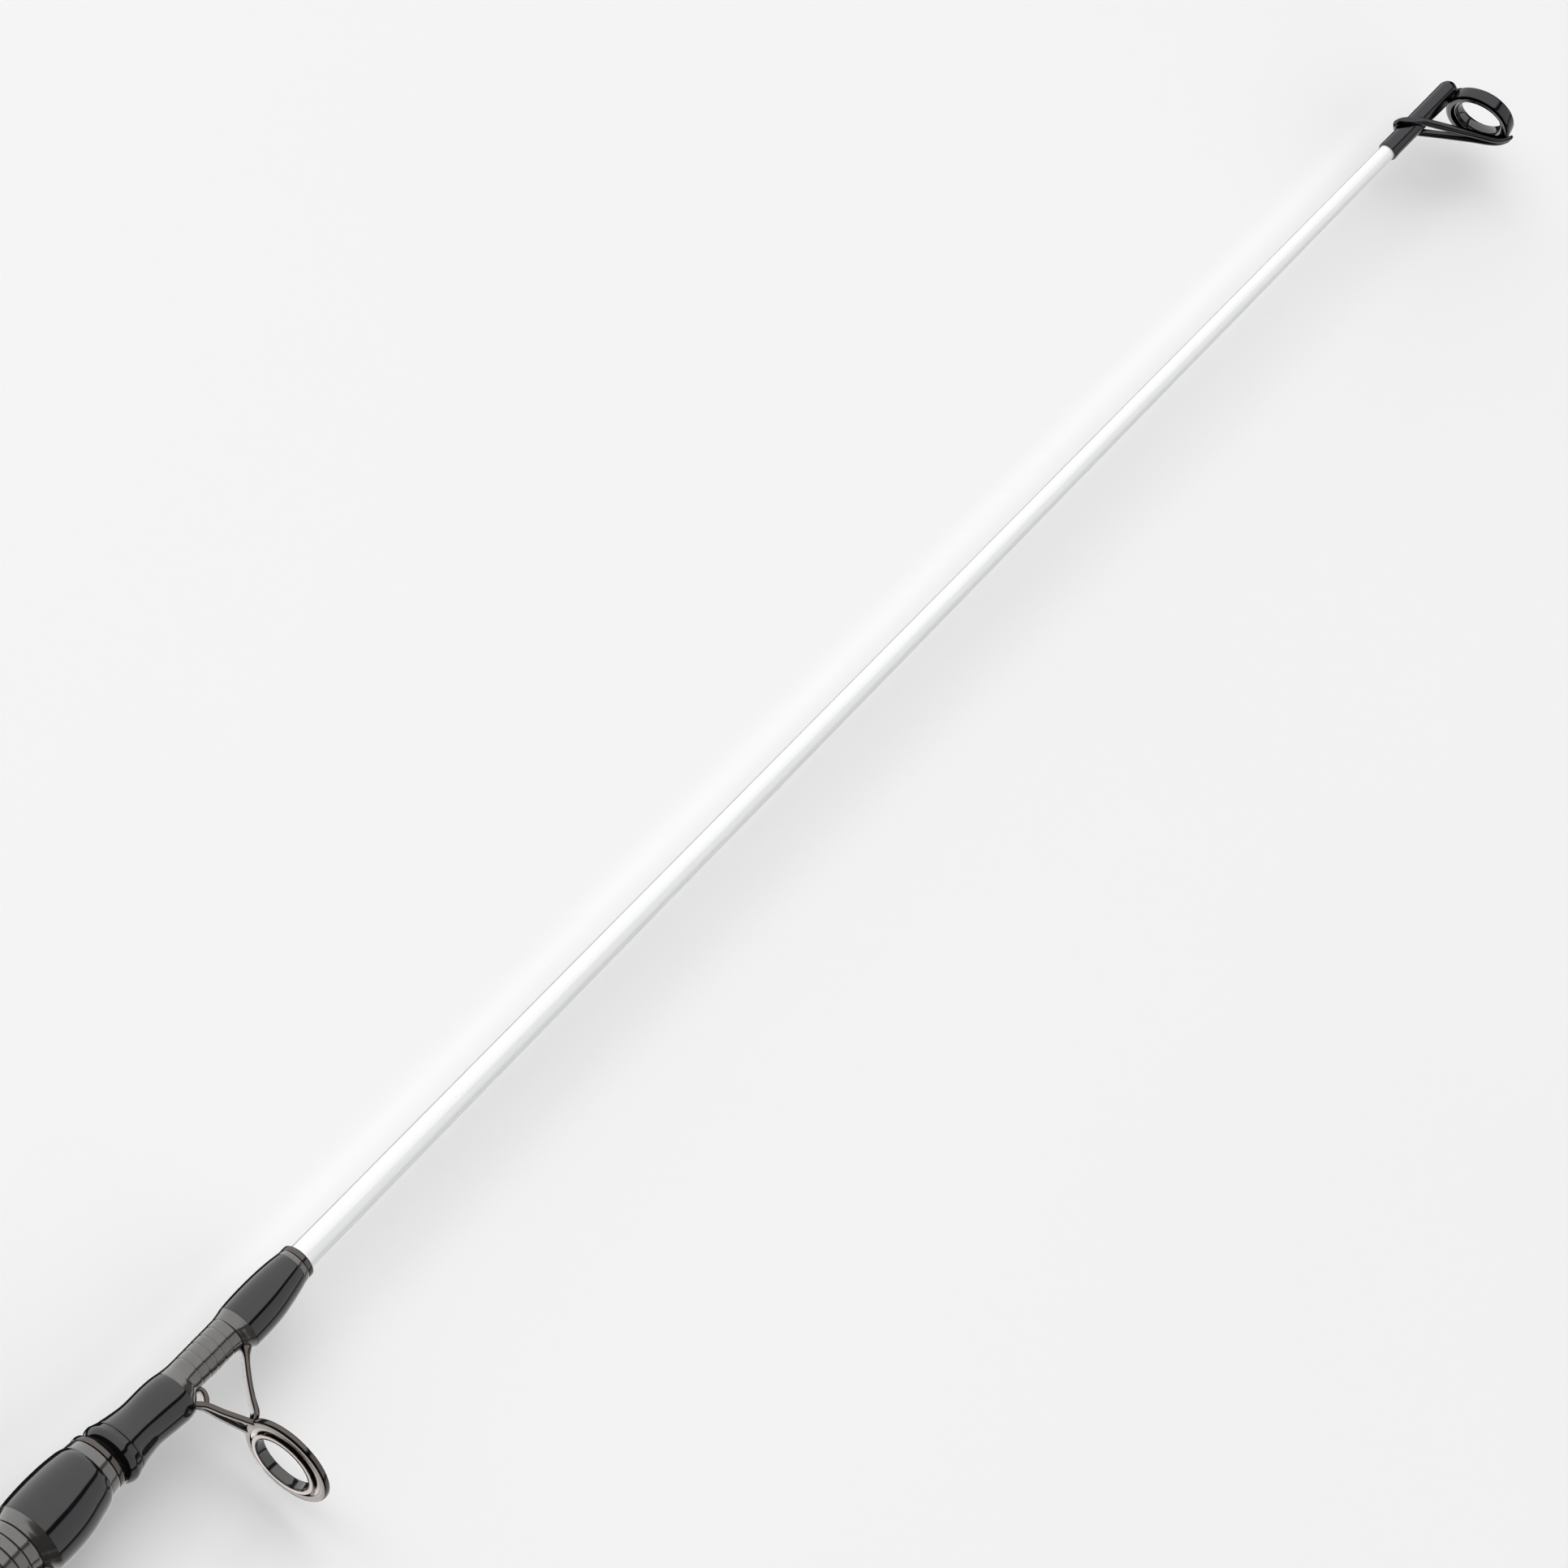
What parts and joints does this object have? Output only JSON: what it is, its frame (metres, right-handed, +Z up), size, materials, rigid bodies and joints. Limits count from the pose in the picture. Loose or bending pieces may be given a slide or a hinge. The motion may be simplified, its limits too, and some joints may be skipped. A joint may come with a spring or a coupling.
{
  "type": "telescopic fishing rod",
  "caption": "Telescopic boat fishing rod lying on its side: grip with reel seat, sliding sections with thread-wrapped ring guides, white tip pulled out, no reel.",
  "frame": {"origin": "centre of the screw cap's flat end face, on the rod axis", "axes": "+X along the rod towards the tip, -Y the side the guide rings stand on, +Z up as the rod lies on its side"},
  "size_m": [1.0103, 0.0696, 0.0316],
  "materials": {
    "white_blank": "high gloss white lacquer on glass fibre",
    "dark_thread": "near-black thread under clear gloss epoxy",
    "grey_thread": "warm grey thread under clear gloss epoxy",
    "gunmetal": "polished gunmetal plating on steel",
    "black_nickel": "polished black nickel",
    "ceramic": "polished dark ceramic",
    "gloss_black": "black gloss epoxy",
    "black_rubber": "satin black rubber",
    "black_nylon": "satin black glass-filled nylon",
    "eva_foam": "fine-celled matt black EVA foam",
    "aluminium": "anodised gunmetal aluminium",
    "brass": "machined brass"
  },
  "bodies": {
    "butt_section": {"butt_blank": "white_blank", "butt_mouth_ring": "gunmetal", "butt_trim_band": "grey_thread", "butt_front_wrap": "dark_thread", "butt_neck_wrap": "grey_thread", "butt_rear_wrap": "dark_thread", "butt_guide_frame": "gunmetal", "butt_guide_bezel": "black_nickel", "butt_guide_insert": "ceramic", "butt_ferrule": "aluminium", "rear_grip": "eva_foam", "rear_winding_check": "aluminium", "reel_seat_body": "black_nylon", "reel_foot_bed": "black_rubber", "fixed_hood": "black_nylon", "front_winding_check": "aluminium", "foregrip": "eva_foam", "foregrip_end_check": "aluminium", "hook_keeper": "gunmetal", "keeper_rear_wrap": "dark_thread", "keeper_front_wrap": "dark_thread", "butt_bush": "brass"},
    "middle_section": {"middle_blank": "white_blank", "middle_mouth_ring": "gunmetal", "middle_trim_band": "grey_thread", "middle_front_wrap": "dark_thread", "middle_neck_wrap": "grey_thread", "middle_rear_wrap": "dark_thread", "middle_guide_frame": "gunmetal", "middle_guide_bezel": "black_nickel", "middle_guide_insert": "ceramic", "middle_stop_collar": "gloss_black"},
    "upper_section": {"upper_blank": "white_blank", "upper_mouth_ring": "gunmetal", "upper_trim_band": "grey_thread", "upper_front_wrap": "dark_thread", "upper_neck_wrap": "grey_thread", "upper_rear_wrap": "dark_thread", "upper_guide_frame": "gunmetal", "upper_guide_bezel": "black_nickel", "upper_guide_insert": "ceramic", "upper_stop_collar": "gloss_black"},
    "tip_section": {"tip_blank": "white_blank", "tip_top_tube": "gunmetal", "tip_top_ring": "gunmetal", "tip_top_insert": "ceramic", "tip_top_brace": "gunmetal"},
    "sliding_hood": {"sliding_hood": "black_nylon"},
    "locking_nut": {"locking_nut": "aluminium"},
    "cap_gasket": {"cap_gasket": "black_rubber"},
    "butt_cap": {"butt_cap": "black_nylon"}
  },
  "joints": [
    {"name": "middle_slide", "type": "slide", "parent": "butt_section", "child": "middle_section", "axis": [1, 0, 0], "range_m": [0, 0.36]},
    {"name": "upper_slide", "type": "slide", "parent": "middle_section", "child": "upper_section", "axis": [1, 0, 0], "range_m": [0, 0.34]},
    {"name": "tip_slide", "type": "slide", "parent": "upper_section", "child": "tip_section", "axis": [1, 0, 0], "range_m": [-0.335, 0]},
    {"name": "hood_slide", "type": "slide", "parent": "butt_section", "child": "sliding_hood", "axis": [1, 0, 0], "range_m": [0, 0.014]},
    {"name": "nut_turn", "type": "hinge", "parent": "sliding_hood", "child": "locking_nut", "pos_m": [0.217, 0, 0], "axis": [1, 0, 0], "range_deg": [0, 2520]},
    {"name": "cap_travel", "type": "slide", "parent": "butt_section", "child": "cap_gasket", "axis": [-1, 0, 0], "range_m": [0, 0.012]},
    {"name": "cap_turn", "type": "hinge", "parent": "cap_gasket", "child": "butt_cap", "pos_m": [0.006, 0, 0], "axis": [-1, 0, 0], "range_deg": [0, 1440]}
  ],
  "couplings": [
    {"joint": "nut_turn", "follows": "hood_slide", "rad_per_m": 3141.6},
    {"joint": "cap_turn", "follows": "cap_travel", "rad_per_m": 2094.4}
  ]
}
